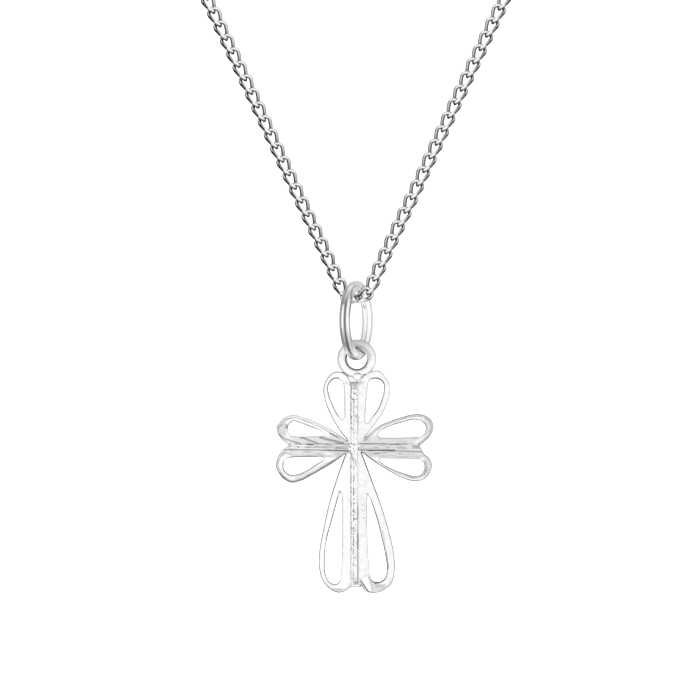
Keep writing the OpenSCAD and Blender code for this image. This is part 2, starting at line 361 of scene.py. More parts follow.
# Height above the horizon in degrees, and how much of the wall gives way to the ceiling there
CEILING_SHARE = [(-90, 0), (22, 0), (48, 1), (90, 1)]
CEILING_LIGHT = 0.75
# Height above the horizon in degrees, and what the floor side leaves of the brightness
LOWER_SHARE = [(-90, 0.45), (-72, 0.45), (-50, 0.7), (-28, 1), (90, 1)]
# Dark corners: share of darkness by height, and by the angle to either side of the front
CORNER_BY_HEIGHT = [(-90, 1), (-26, 1), (-10, 0), (90, 0)]
CORNER_BY_SIDE = [(0, 0), (26, 0), (46, 0.45), (180, 0.45)]
BACKDROP_LIGHT = 1.3
WHITE = (1, 1, 1, 1)


def set_inputs(tree, node, inputs):
    """Give a node's inputs plain values, or links from the outputs of other nodes."""
    for key, value in inputs.items():
        if isinstance(value, bpy.types.NodeSocket):
            tree.links.new(value, node.inputs[key])
        else:
            node.inputs[key].default_value = value


def add_node(tree, kind, inputs=None, **settings):
    node = tree.nodes.new(kind)
    for key, value in settings.items():
        setattr(node, key, value)
    set_inputs(tree, node, inputs or {})
    return node


def math_node(tree, operation, *values):
    return add_node(tree, "ShaderNodeMath", dict(enumerate(values)), operation=operation).outputs[0]


def ramp_node(tree, value, stops):
    """A number read off straight lines between stops of value and number."""
    lowest, highest = stops[0][0], stops[-1][0]
    share = math_node(tree, "DIVIDE", math_node(tree, "SUBTRACT", value, lowest), highest - lowest)
    ramp = add_node(tree, "ShaderNodeValToRGB", {0: share})
    elements = ramp.color_ramp.elements
    while len(elements) < len(stops):
        elements.new(0.5)
    for element, (place, number) in zip(elements, stops):
        element.position = (place - lowest) / (highest - lowest)
        element.color = (number, number, number, 1)
    return ramp.outputs[0]


def make_world():
    world = bpy.data.worlds.new("light_tent")
    scene.world = world
    world.use_nodes = True
    tree = world.node_tree
    tree.nodes.clear()
    direction = add_node(tree, "ShaderNodeTexCoord").outputs["Generated"]
    x, y, z = add_node(tree, "ShaderNodeSeparateXYZ", {0: direction}).outputs
    forward = math_node(tree, "MULTIPLY", y, -1)
    to_right = math_node(tree, "DEGREES", math_node(tree, "ARCTAN2", x, forward))
    to_side = math_node(tree, "ABSOLUTE", to_right)
    height = math_node(tree, "DEGREES", math_node(tree, "ARCSINE", z))
    ceiling = ramp_node(tree, height, CEILING_SHARE)
    corner = math_node(tree, "MULTIPLY", ramp_node(tree, height, CORNER_BY_HEIGHT),
                       ramp_node(tree, to_side, CORNER_BY_SIDE))
    wall_part = math_node(tree, "MULTIPLY", ramp_node(tree, to_right, WALLS),
                          math_node(tree, "SUBTRACT", 1, ceiling))
    light = math_node(tree, "ADD", wall_part, math_node(tree, "MULTIPLY", ceiling, CEILING_LIGHT))
    light = math_node(tree, "MULTIPLY", light, ramp_node(tree, height, LOWER_SHARE))
    light = math_node(tree, "MULTIPLY", light, math_node(tree, "SUBTRACT", 1, corner))
    tent, backdrop = (
        add_node(tree, "ShaderNodeBackground", {"Color": WHITE, "Strength": strength}).outputs[0]
        for strength in (light, BACKDROP_LIGHT))
    to_camera = add_node(tree, "ShaderNodeLightPath").outputs["Is Camera Ray"]
    mix = add_node(tree, "ShaderNodeMixShader", {0: to_camera, 1: tent, 2: backdrop})
    add_node(tree, "ShaderNodeOutputWorld", {0: mix.outputs[0]})


def new_material(name):
    """A material with its node tree and its shader."""
    material = bpy.data.materials.new(name)
    material.use_nodes = True
    return material, material.node_tree, material.node_tree.nodes["Principled BSDF"]


def make_floor():
    half = FLOOR_SIZE / 2
    corners = [(-half, -half), (half, -half), (half, half), (-half, half)]
    mesh = bpy.data.meshes.new("floor")
    mesh.from_pydata([(x, y, cad_low.z - FLOOR_DROP) for x, y in corners], [], [(0, 1, 2, 3)])
    material, tree, shader = new_material("floor_paper")
    set_inputs(tree, shader, {
        "Base Color": (FLOOR_GREY, FLOOR_GREY, FLOOR_GREY, 1),
        "Roughness": FLOOR_ROUGHNESS,
        "Emission Color": WHITE,
        "Emission Strength": 1,
    })
    mesh.materials.append(material)
    floor = bpy.data.objects.new("floor", mesh)
    floor.visible_glossy = False
    scene.collection.objects.link(floor)


# Materials

# What full tarnish and painted shade add to the roughness
TARNISH_AND_SHADE_ROUGHNESS = 0.15
# Detail of the patches and of the grain
PATCH_DETAIL = 4
GRAIN_DETAIL = 3
# Values of the patches' noise between which the tone changes, and between which the roughness does
TONE_RANGE = (0.35, 0.6)
GLOSS_RANGE = (0.3, 0.7)


def silver(name, bright, dull, dark, edge, roughness, patch_mm, grain_mm, grain_height_mm):
    """Silver in bright and dull patches with a fine grain, and dark where a piece has tarnish or painted
    shade.

    The edge value is how bright it still shines where it turns away.
    """
    material, tree, shader = new_material(name)
    place = add_node(tree, "ShaderNodeTexCoord").outputs["Object"]
    patches, grain = (
        add_node(tree, "ShaderNodeTexNoise",
                 {"Vector": place, "Scale": 1 / (size * MM), "Detail": detail}).outputs[0]
        for size, detail in ((patch_mm, PATCH_DETAIL), (grain_mm, GRAIN_DETAIL)))
    # This attribute holds tarnish and also painted shade and painted dark reflections.
    tarnish, frost = (add_node(tree, "ShaderNodeAttribute", attribute_name=kind).outputs["Fac"]
                      for kind in ("tarnish", "frost"))
    tone = add_node(tree, "ShaderNodeValToRGB", {0: patches})
    for element, position, colour in zip(tone.color_ramp.elements, TONE_RANGE, (dull, bright)):
        element.position = position
        element.color = (*colour, 1)
    colour = add_node(tree, "ShaderNodeMix", {"Factor": tarnish, "A": tone.outputs[0], "B": (*dark, 1)},
                      data_type="RGBA")
    gloss = add_node(tree, "ShaderNodeMapRange", {
        "Value": patches,
        "From Min": GLOSS_RANGE[0], "From Max": GLOSS_RANGE[1],
        "To Min": roughness[0], "To Max": roughness[1],
    })
    bump = add_node(tree, "ShaderNodeBump", {"Distance": grain_height_mm * MM, "Height": grain})
    set_inputs(tree, shader, {
        "Base Color": colour.outputs["Result"],
        "Specular Tint": (edge, edge, edge, 1),
        "Roughness": math_node(tree, "MULTIPLY_ADD", tarnish, TARNISH_AND_SHADE_ROUGHNESS, gloss.outputs[0]),
        "Metallic": math_node(tree, "SUBTRACT", 1, frost),
        "Normal": bump.outputs[0],
    })
    return material


# Chain

def link_outline():
    """Flat oval of a link's wire, as places along and across from its middle."""
    straight = LINK_PITCH / 2 + LINK_WIRE_R - LINK_HALF_WIDTH
    quarter = math.pi * LINK_HALF_WIDTH / 2
    stops = np.cumsum([0, quarter, 2 * straight, quarter])
    way = 2 * stops[-1] * np.arange(LINK_SEGMENTS) / LINK_SEGMENTS
    side = np.where(way < stops[-1], 1, -1)
    lean = np.interp(way % stops[-1], stops, [0, math.pi / 2, math.pi / 2, math.pi])
    shift = np.interp(way % stops[-1], stops, [straight, straight, -straight, -straight])
    return side * (shift + LINK_HALF_WIDTH * np.cos(lean)), side * LINK_HALF_WIDTH * np.sin(lean)


def link_template():
    """Points of one twisted curb link, as (along, across, outward) from its middle, and their painted
    shade.
    """
    along, across = link_outline()
    turn = LINK_TWIST * along / (LINK_PITCH / 2 + LINK_WIRE_R) + LINK_TURN
    centres = np.stack([along, across * np.cos(turn), across * np.sin(turn)], 1)
    flat_normal = np.stack([np.zeros_like(turn), -np.sin(turn), np.cos(turn)], 1)
    tangent = unit(np.roll(centres, -1, 0) - np.roll(centres, 1, 0))
    sideways = unit(np.cross(tangent, flat_normal))
    normal = np.cross(sideways, tangent)
    about = angles(LINK_SIDES)[None, :, None]
    facing = np.cos(about) * sideways[:, None] + np.sin(about) * normal[:, None]
    points = centres[:, None] + LINK_WIRE_R * facing
    outward = facing[:, :, 2]
    # Painted shade: a link is painted lighter on the side towards the light and darker opposite.
    away = (1 - facing[:, :, :2] @ np.array(LINK_LIT_SIDE)) / 2
    # Painted highlight: outward faces are kept free of the painted shade so that they shine.
    limit = LINK_HIGHLIGHT_FACING[0] + (LINK_HIGHLIGHT_FACING[1] - LINK_HIGHLIGHT_FACING[0]) * away
    painted_highlight = rise(limit - HIGHLIGHT_EDGE, limit + HIGHLIGHT_EDGE, np.abs(outward))
    painted_highlight = painted_highlight * rise(-HIGHLIGHT_DEPTH, 0, points[:, :, 2] * np.sign(outward))
    tarnish = (LINK_SHADE[0] + (LINK_SHADE[1] - LINK_SHADE[0]) * away) * (1 - painted_highlight)
    # Painted dark reflection along one outer side of each link.
    dark_reflection = np.interp(along, *np.array(LINK_DARK_REFLECTION).T) * (across < 0)
    tarnish = np.maximum(tarnish, dark_reflection[:, None] * rise(*DARK_REFLECTION_AWAY, away))
    points[:, :, 2] = np.clip(points[:, :, 2], -LINK_FLAT, LINK_FLAT)
    points[:, :, 1] -= LINK_SHIFT
    return points.reshape(-1, 3), tarnish.reshape(-1)


def chain_joints():
    """Places where two links meet, a pitch apart along the whole route from left to right."""
    right = smooth_curve(HALF_ROUTE, ROUTE_STEPS)
    right = np.concatenate([right, right[-1:] - [COLLAR_REACH, 0, 0]])
    route = np.concatenate([right[::-1] * [-1, 1, 1], right[1:]])
    lengths = np.concatenate([[0], np.cumsum(np.linalg.norm(np.diff(route, axis=0), axis=1))])
    middle = lengths[-1] / 2

    def at(way):
        return np.array([np.interp(way, lengths, route[:, axis]) for axis in range(3)])

    def steps(way, direction):
        joints = [at(way)]
        while True:
            ahead = way + direction * LINK_PITCH
            for _ in range(JOINT_ROUNDS):
                ahead += direction * (LINK_PITCH - np.linalg.norm(at(ahead) - joints[-1]))
            if not 0 < ahead < lengths[-1]:
                return joints
            way = ahead
            joints.append(at(way))

    leftward = steps(middle + LEFT_JOINT, -1)
    rightward = steps(middle + RIGHT_JOINT, 1)
    return np.array(leftward[::-1] + [at(middle + LOWEST_JOINT)] + rightward), len(leftward)


# Shares of its half width where a mark starts to fade and ends
MARK_FADE = np.array((0.6, 1.5))


def marks_along(points, marks):
    """Painted shade and reflections of points near any of the marks, each a route, its half width and how
    dark it is painted.
    """
    tarnish = np.zeros(len(points))
    for route, half_width, dark in marks:
        legs = zip(route, route[1:])
        off = np.min([beside_segment(points, start, end)[1] for start, end in legs], axis=0)
        tarnish = np.maximum(tarnish, dark * fall(*(half_width * MARK_FADE), off))
    return tarnish


def make_chain(material):
    """Both halves of the chain, whose links are painted with a highlight outward and with shade on their
    sides.
    """
    template, link_tarnish = link_template()
    joints, lowest = chain_joints()
    link_faces = np.array(grid_faces(LINK_SEGMENTS, LINK_SIDES, closed=True))
    for half, first, last in (("left", 0, lowest), ("right", lowest, len(joints) - 1)):
        on_left = half == "left"
        points, faces = [], []
        for k, i in enumerate(range(first, last)):
            middle = (joints[i] + joints[i + 1]) / 2
            up = unit(joints[i] - joints[i + 1] if on_left else joints[i + 1] - joints[i])
            neck = [math.copysign(abs(way / half_way) ** NECK_POWER, way)
                    for way, half_way in zip(middle, NECK_HALF)]
            neck = np.array([*neck, 0])
            outward = unit(neck - up * np.dot(neck, up))
            across = np.cross(up, outward) * (1 if on_left else -1)
            points.append(middle + template @ np.array([up, across, outward]))
            faces.append(k * len(template) + (link_faces if on_left else link_faces[:, ::-1]))
        points = np.concatenate(points)
        seen = points[:, [0, 2]]
        # Painted shade of every link, a little lighter on the right half.
        tarnish = np.tile(link_tarnish, last - first) * (1 if on_left else RIGHT_SHADE_SHARE)
        # Painted highlight: the painted shade is mostly taken off where the lowest links shine.
        for low, high in APEX_HIGHLIGHT:
            in_highlight = np.all((seen > low) & (seen < high), axis=1)
            tarnish = tarnish * np.where(in_highlight, APEX_HIGHLIGHT_SHARE, 1)
        # Painted shade where the lowest links meet the ring goes over the links.
        make_piece(f"chain_links_{half}", points, np.concatenate(faces).tolist(),
                   "chain_body", "chain_silver", "chain", material,
                   tarnish=np.maximum(tarnish, marks_along(seen, APEX_MARKS)))


# Jump ring

# Dark reflections painted on the ring as the photo shows them: a route across and up in mm, its half
# width and how dark it is painted
RING_MARKS = [
    ([(0.02, -110.65), (-0.23, -110.88), (-0.37, -111.2)], 0.06, 0.6),
    ([(-0.37, -111.2), (-0.46, -111.46), (-0.46, -111.91)], 0.09, 0.75),
    ([(-0.46, -111.91), (-0.5, -112.42), (-0.58, -112.94), (-0.65, -113.66)], 0.05, 0.6),
    ([(-0.14, -110.49), (-0.47, -110.58), (-0.68, -110.79), (-0.85, -111.08)], 0.05, 0.4),
    ([(-0.85, -111.08), (-1.01, -111.5), (-1.16, -112.01), (-1.28, -112.52)], 0.06, 0.7),
    ([(-1.09, -111.89), (-1.15, -112.38)], 0.09, 0.6),
    ([(0.25, -110.81), (0.47, -110.94), (0.6, -111.13)], 0.05, 0.5),
    ([(0.74, -112.52), (0.86, -112.86)], 0.06, 0.8),
    ([(-0.08, -117.74), (0.17, -117.79), (0.43, -117.7),
      (0.77, -117.42), (0.9, -117.26), (0.67, -116.85)], 0.05, 0.9),
    ([(-0.37, -117.18), (-0.13, -117.56), (0.1, -117.75)], 0.12, 0.6),
    ([(0.33, -116.83), (0.62, -117.01), (0.86, -117.14)], 0.06, 0.9),
    ([(0.52, -116.57), (0.74, -116.88), (0.86, -117.14)], 0.06, 0.9),
]
# The same, painted shade where the links and the ring meet
APEX_MARKS = [
    ([(0.07, -111.76), (0.19, -111.68), (0.51, -111.62), (0.6, -111.37)], 0.08, 1),
    ([(0.51, -111.62), (0.6, -111.76), (0.39, -112.03), (0.09, -112.2)], 0.07, 1),
    ([(0.07, -111.76), (-0.06, -111.99), (-0.12, -112.28)], 0.05, 0.7),
    ([(0.1, -112.34), (0.25, -112.48)], 0.05, 0.7),
    ([(0.76, -111.5), (0.8, -111.5)], 0.06, 0.9),
    ([(0.97, -111.95), (1.13, -111.87)], 0.07, 0.95),
]

# Painted dark reflection streak along the wire: its middle and half width as angles about the wire
STREAK_ABOUT = (math.radians(-20), math.radians(13))
# Angles round the ring where the streak starts, is full, starts to fade and ends
STREAK_ROUND = [math.radians(angle) for angle in (122, 162, 232, 262)]
# Painted reflection lines on the far half: middle and half width as angles about the wire, darkness
FAR_LINES = [(math.radians(middle), math.radians(half), dark)
             for middle, half, dark in ((138, 11, 0.6), (197, 7, 0.5), (246, 9, 0.55), (284, 20, 0.4))]
# Shares of its half width where a streak or line starts to fade and ends
LINE_FADE = np.array((0.6, 1.4))
# Painted shade under the ring's bottom, where it faces down: angles round the ring where it starts, is
# full, starts to fade and ends, how squarely the wire faces down there, and its darkness
UNDER_ROUND = [math.radians(angle) for angle in (228, 250, 320, 345)]
UNDER_FACING = (0.7, 0.9)
UNDER_SHADE = 0.85
# How frosted the far half, the near half and the top and bottom of the ring are
FAR_FROST = 0.9
NEAR_FROST = 0.15
END_FROST = 0.6
# Where the lines and both frosts start and are full, as shares of the ring's radius
LINE_PLACE = (0, 0.6)
FAR_PLACE = (-0.6, 0.1)
END_PLACE = (0.45, 0.95)


def ring_surface(points, centre):
    """Painted shade and frost of the ring's points: a painted dark streak on the near half and a paler far
    half.
    """
    around, about = torus_angles(RING_SEGMENTS, RING_SIDES)
    backward, upward = np.cos(around), np.sin(around)

    def band(middle, half):
        off = np.abs((about - middle + np.pi) % (2 * np.pi) - np.pi)
        return fall(*(half * LINE_FADE), off)

    def stretch(start, full, fade, end):
        return rise(start, full, around) * fall(fade, end, around)

    # Painted dark reflections: a streak on the near half and faint lines on the far half.
    lines = sum(dark * band(middle, half) for middle, half, dark in FAR_LINES)
    tarnish = stretch(*STREAK_ROUND) * band(*STREAK_ABOUT) + lines * rise(*LINE_PLACE, backward)
    # Painted shade along the underside of the ring's bottom.
    facing_down = rise(*UNDER_FACING, -upward * np.cos(about))
    tarnish = np.maximum(tarnish, UNDER_SHADE * stretch(*UNDER_ROUND) * facing_down).reshape(-1)
    wire_depth = centre[1] + RING_R * math.cos(RING_YAW) * backward + 0 * about
    in_front = points[:, 1] < wire_depth.reshape(-1)
    # Painted dark reflections and painted shade of the marks, on the ring's near side only.
    tarnish = np.maximum(tarnish, in_front * marks_along(points[:, [0, 2]], RING_MARKS + APEX_MARKS))
    far = FAR_FROST * rise(*FAR_PLACE, backward)
    ends = END_FROST * rise(*END_PLACE, np.abs(upward))
    frost = np.maximum(np.maximum(far, ends), NEAR_FROST) + 0 * about
    return {"tarnish": tarnish, "frost": frost.reshape(-1)}


def make_ring(material):
    low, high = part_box("jump_ring")
    centre = np.array((low + high) / 2) / MM
    across = (math.sin(RING_YAW), math.cos(RING_YAW), 0)
    points, faces = torus(centre, across, (0, 0, 1), RING_R, RING_WIRE_R, RING_SEGMENTS, RING_SIDES)
    make_piece("round_jump_ring", points, faces, "ring_body", "wire_silver", "jump_ring",
               material, **ring_surface(points, centre))


# Clasp

def lathe(start, direction, profile, sides=32):
    """Points and faces of a closed turned shape: (distance along the axis, radius) for each ring."""
    start, direction = np.array(start, float), np.array(direction, float)
    across = np.array((0.0, 1.0, 0.0))
    upward = np.cross(direction, across)
    about = angles(sides)[None, :, None]
    ways = np.array([p[0] for p in profile])[:, None, None]
    radii = np.array([p[1] for p in profile])[:, None, None]
    points = start + ways * direction + radii * (np.cos(about) * across + np.sin(about) * upward)
    faces = grid_faces(len(profile), sides, closed=False)
    faces.append(list(range(sides))[::-1])
    faces.append([(len(profile) - 1) * sides + k for k in range(sides)])
    return points.reshape(-1, 3), faces


def make_clasp(material):
    low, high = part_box("clasp")
    centre = np.array((low + high) / 2) / MM
    ring = torus(centre, (1, 0, 0), (0, 0, 1), CLASP_RING_R, CLASP_WIRE_R, CLASP_SEGMENTS, CLASP_SIDES)
    far_end = [(COLLAR_LENGTH - way, depth) for way, depth in reversed(COLLAR_END)]
    profile = [(way, COLLAR_R - depth) for way, depth in COLLAR_END + COLLAR_GROOVE + far_end]
    end = CLASP_RING_R + COLLAR_LENGTH
    collars = [lathe(centre + np.array((side * end, 0, 0)), (-side, 0, 0), profile) for side in (-1, 1)]
    points, faces = join(ring, *collars)
    make_piece("ring_clasp", points, faces, "chain_body", "wire_silver", "clasp", material)


# Cross

def petal_loops():
    """Loops of points round the joined petals, the outer one first, with the metal on their left."""
    hub = np.zeros((1, 2))
    shapes = [np.concatenate([hub, smooth_curve(outline, OUTLINE_STEP)]) for outline in PETAL_OUTLINES]
    for (x0, z0), (x1, z1) in SPINES:
        shapes.append(np.array([(x0, z0), (x1, z0), (x1, z1), (x0, z1)]))
    solid_count = len(shapes)
    shapes += [smooth_curve(window, OUTLINE_STEP, closed=True) for window in PETAL_WINDOWS]
    corners, polygons = [], []
    for shape in shapes:
        polygons.append(list(range(len(corners), len(corners) + len(shape))))
        corners += [Vector(p) for p in (shape if signed_area(shape) > 0 else shape[::-1])]
    points, _, triangles, _, _, owners = delaunay_2d_cdt(
        corners, [], polygons, INNER_TRIANGLES, SAME_CORNER, True)
    edges = {}
    for triangle, owner in zip(triangles, owners):
        if owner and max(owner) < solid_count:
            for a, b in zip(triangle, triangle[1:] + triangle[:1]):
                edges[a, b] = True
    following = {a: b for a, b in edges if (b, a) not in edges}
    loops = []
    while following:
        start, loop = next(iter(following)), []
        step = start
        while step in following:
            loop.append(step)
            step = following.pop(step)
        loops.append(np.array([points[i] for i in loop]))
    loops = [loop[spaced(loop, OUTLINE_STEP / 3)] for loop in loops]
    return sorted(loops, key=lambda loop: -np.ptp(loop, axis=0).sum())


def signed_area(loop):
    """Area in a loop, which is positive where the loop runs anticlockwise."""
    x, z = loop.T
    return float((x * np.roll(z, -1) - np.roll(x, -1) * z).sum() / 2)


def spaced(loop, least):
    """Which points of a loop stay when those too near the one before are left out."""
    kept = [0]
    for i in range(1, len(loop)):
        near = np.linalg.norm(loop[[kept[-1], 0]] - loop[i], axis=1)
        if near.min() >= least:
            kept.append(i)
    return kept


def inward_normals(loop):
    """Unit vectors into the metal at a loop's points."""
    step = unit(np.roll(loop, -1, 0) - np.roll(loop, 1, 0))
    return np.stack([-step[:, 1], step[:, 0]], 1)


def tree_of(points):
    tree = KDTree(len(points))
    for i, (x, z) in enumerate(points):
        tree.insert((x, z, 0), i)
    tree.balance()
    return tree


def away_from(points, others, least):
    """Those points that lie a least distance from all the others."""
    tree = tree_of(others)
    return np.array([p for p in points if tree.find((p[0], p[1], 0))[2] > least])


def nearest_edges(points, loops):
    """Distance of each point from the nearest edge of the loops, and the loops' corner nearest to it."""
    corners = np.concatenate(loops)
    ends = np.concatenate([np.roll(loop, -1, 0) for loop in loops])
    starts = np.concatenate([np.roll(loop, 1, 0) for loop in loops])
    tree = tree_of(corners)
    nearest = np.array([tree.find((x, z, 0))[1] for x, z in points])
    best = np.full(len(points), np.inf)
    for others in (ends, starts):
        a, edge = corners[nearest], others[nearest] - corners[nearest]
        share = np.clip(((points - a) * edge).sum(1) / (edge**2).sum(1), 0, 1)[:, None]
        best = np.minimum(best, np.linalg.norm(points - a - share * edge, axis=1))
    return best, nearest


def distances(points, loops):
    return nearest_edges(points, loops)[0]


# How many points are told inside from outside at once
POINTS_AT_ONCE = 2000


def is_inside(points, loops):
    """Whether each point lies in the metal, by counting the loops' edges to its right."""
    a = np.concatenate(loops)
    b = np.concatenate([np.roll(loop, -1, 0) for loop in loops])
    inside = np.zeros(len(points), bool)
    for start in range(0, len(points), POINTS_AT_ONCE):
        some = slice(start, start + POINTS_AT_ONCE)
        x, z = points[some, :1], points[some, 1:]
        spans = (a[:, 1] > z) != (b[:, 1] > z)
        with np.errstate(divide="ignore", invalid="ignore"):
            meet = a[:, 0] + (z - a[:, 1]) * (b[:, 0] - a[:, 0]) / (b[:, 1] - a[:, 1])
        inside[some] = (spans & (x < meet)).sum(1) % 2 == 1
    return inside


def rough(points, scale, offset):
    """Smooth noise from -1 to 1 at points of the face: its scale in mm, and which pattern it is."""
    return np.array([noise.noise((x / scale, z / scale, offset)) for x, z in points])


# Ridges: place of the middle, both ends along the arm, and the ends of the rows of points on it
UPRIGHT = {"middle": -0.07, "ends": (-13.3, 6.05), "rows": (-13.4, 6.2)}
LEVEL = {"middle": -0.17, "ends": (-6.3, 6.15), "rows": (-6.4, 6.3)}
# Edges of the ridges, as places along the arm and the edge's place beside it
UPRIGHT_EDGES = [[(-13.3, -0.41), (6.05, -0.4)], [(-13.3, 0.25), (6.05, 0.25)]]
LEVEL_EDGES = [
    [(-6.3, -0.39), (-0.4, -0.53), (0.4, -0.43), (6.15, -0.6)],
    [(-6.3, 0.1), (-0.4, 0.16), (6.15, 0.13)],
]
# Half width of the steep flank between a ridge and its bars
FLANK = 0.03
# Distances from the other arm's middle, and from the foot, where a ridge's marks start and are full
UPRIGHT_CLEAR = (0.28, 0.5)
LEVEL_CLEAR = (0.3, 0.6)
FOOT_CLEAR = (0, 0.3)
# Strength of the painted shade in the upright's cut lines along the arm: left edge, top and right edge
UPRIGHT_LINE_SHADE = [
    [(-13, 0.5), (-6.5, 0.6), (-4, 0.9), (-1.5, 0.9), (-0.9, 0.3), (0.8, 0.2), (1.5, 0.8), (3, 1), (6, 1)],
    [(-13, 0.9), (-4, 1), (-1.5, 0.7), (-0.7, 0.35), (0.8, 0.3), (1.5, 0.8), (6, 0.8)],
    [(-13.2, 0.8), (-10.1, 0.7), (-10, 0.3), (-9.8, 1), (-8.4, 1), (-8.2, 0.5), (-7, 0.5), (-6.8, 0.8),
     (-5.8, 0.75), (-5.5, 0.35), (-1, 0.1), (1, 0), (1.8, 0.6), (2.8, 0.6), (3.1, 0.25), (6, 0.3)],
]
# Faint haze all over the front, how much more of it the right side has, and its unevenness
CAST_HAZE = 0.125
RIGHT_HAZE = 0.035
UNEVEN_HAZE = (0.1, 0.08)
# Painted grey shade on the level arm's bars below the ridge, where they face down, and above it, on the
# left and on the right, how strongly it is brushed on the right and on the left, the shape of the
# brush marks across and up, and distances from the ridge where the grey fades and ends
BAR_GREYS = [(0.33, 0.12), (0.38, 0.18)]
BRUSHED = (0.8, 1.5)
BRUSH_STRETCH = (0.1, 1)
BAR_REACH = (0.55, 0.75)
# Painted grey shade on the top of the level ridge along the arm, and how softly greys end at its edges
LEVEL_TOP_GREY = [(-6.3, 0.14), (-4.6, 0.2), (-3.4, 0.37), (-0.5, 0.48), (3, 0.4), (6.2, 0.34)]
SOFT_EDGE = 0.1
# Grey and specks where the arms cross, and how far from the crossing they reach
HUB_GREY = 0.17
HUB_SPECKS = 0.75
HUB_REACH = (0.45, 0.8)
# Soft painted shade at the feet of the petals: middle, half length, half height and its darkness
FOOT_GREYS = [(2.4, -13.45, 0.75, 0.35, 0.45), (-1.9, -13.72, 1.1, 0.18, 0.5)]
UNEVEN_FEET = 0.4
# Specks on the right bar, in the same way
BAR_SPECKS = (0.75, -6.2, 0.3, 1.5, 0.6)
# Values of the noise where specks start and are full, on the ridges and on the bar, the shape of the
# ridges' specks across and up, and how far inside the ridge's edge they are full
SPECK_NOISE = (0.18, 0.36)
BAR_SPECK_NOISE = (0.2, 0.4)
SPECK_STRETCH = (1, 0.7)
TOP_INSET = 0.08
# Strength of the specks on the upright's top along the arm, and their tarnish
SPECK_WEAR = [(-13.3, 0.6), (-11, 0.7), (-7, 1), (-4, 0.6), (-1.6, 0.7), (0.4, 0.6), (1.5, 0.9), (3, 1)]
SPECK_TARNISH = 0.85
# Places of the fine lines along the tops of the ridges
UPRIGHT_TOP = [(-13.3, -0.16), (6.05, -0.14)]
LEVEL_TOP = [(-6.3, -0.13), (6.15, -0.27)]
# Lines along the left edge, top and right edge of the upright, and along the lower edge, upper edge
# and top of the level ridge: half width, depth, and share of LINE_WANDER by which each wanders
LINES = [(0.06, 0.04, 1), (0.06, 0.03, 1.5), (0.08, 0.05, 0.5),
         (0.075, 0.05, 0), (0.06, 0.03, 0), (0.05, 0.02, 0)]
LINE_WANDER = 0.045
# Painted shade of these lines between dots, what the dots add, what is added towards the crossing, on
# the upper edge only right of it, and the most that the upper edge has
LEFT_LINE = {"plain": 0.08, "dots": 0.92}
LOWER_LINE = {"plain": 0.8, "hub": 0.2}
UPPER_LINE = {"plain": 0.35, "dots": 0.4, "hub": 0.5, "most": 0.85}
LEVEL_LINE = {"plain": 0.45, "dots": 0.45}
# Distances from the crossing where the level arm's lines start to grow paler and are palest
LINE_HUB_REACH = (1, 4.5)
# Dotted lines: about how far apart the dots are, and what the noise has to reach for a dot
DOTS = {"left": (0.22, -0.12), "top": (0.2, -0.1), "upper": (0.5, 0), "level": (0.8, 0)}
# How gradually dots start and end, and which noise patterns they come from
DOT_EDGE = 0.15
DOT_OFFSETS = (11, 17)
# Noise patterns of the casting: scale in mm, and an offset that sets each apart from the others
NOISE = {
    "haze": (0.4, 37), "fine_haze": (0.13, 43), "wander": (0.3, 31), "brush": (0.1, 23),
    "outline": (0.9, 5), "second": (0.7, 9), "ripple": (0.8, 13), "feet": (0.3, 47),
    "pits": (0.15, 21), "ridge": (0.11, 0), "specks": (0.13, 41), "bar_specks": (0.14, 53),
    "front": (0.5, 3), "back": (0.6, 7), "back_haze": (0.9, 19), "fine_back_haze": (0.3, 29),
}
# Painted shade along the outlines all over and on the top arm's outer edge, what is added to it in
# places, what share is taken off in others, and how uneven it is; pairs are for the left and the right
OUTLINE = {
    "all": 0.7, "top": (0.6, 0.35),
    "facing_down": 0.1, "window_tops": 0.4, "waist": (0.1, 0.3), "low_windows": 0.2, "low_left": -0.25,
    "notch": 0.6, "upper_left": 0.65, "bars": (0.85, 0.6),
    "uneven": 0.25,
}
# Where these start and are full: heights, depth, distance from the notch's middle, how squarely an
# edge faces up, and distances from a ridge and from the edge
OUTLINE_PLACE = {
    "window_tops": 5.5, "waist": (-6, -4.5), "low_windows": -5, "low_left": (8.5, 9.5),
    "notch": (0.35, 0.9), "upper_left": (0.3, 0.7), "bars": (1.35, 1.7), "all": (0.05, 0.17),
}
# Second painted shade line inside some rims: distance from the edge and half width, how much both grow
# on the left arm's upper edge, its darkness, unevenness, and the share taken off in the left notch
SECOND_PLACE = (0.21, 0.055)
SECOND_GROWTH = (0.09, 0.025)
SECOND_LINE_SHADE = {"rims": 0.75, "lower_right_rim": 0.1, "right_window": 0.75, "feet": 0.4}
UNEVEN_SECOND = 0.5
NOTCH_RIM_SHARE = 0.7
# Depths where it starts and is full at the feet, and its highest place in the lower right window
FEET_PLACE = (12.3, 12.9)
RIGHT_WINDOW_BELOW = -1.45
# How much farther across than up or down the level arm's edges lie, and how far from the middle the
# outer sides of the bottom windows do
ARM_START = 0.5
STEM_HALF = 1.5
# Shade inside the left arm's rims that face down, and distances where it fades and ends
RIM_SHADE = 0.85
RIM_SHADE_REACH = (0.12, 0.24)
# Ripples round the ends of the level arm: where they start and are full, their spacing and depth,
# and the painted shade between them and what they add, on the lower left lobe and on the others
LOBES = (6.3, 6.7)
RIPPLE_STEP = 0.15
RIPPLE_DEPTH = 0.015
PLAIN_LOBE = (0.06, 0.2)
RIPPLED_LOBE = (0.23, 0.45)
# Distances of the rows of points beside a ridge's middle, and how clear these points stay of the
# edges and of the rows along them
RIDGE_ROWS = np.linspace(-0.5, 0.5, 28)
RIDGE_INSET = 0.12
RIDGE_CLEARANCE = 0.025
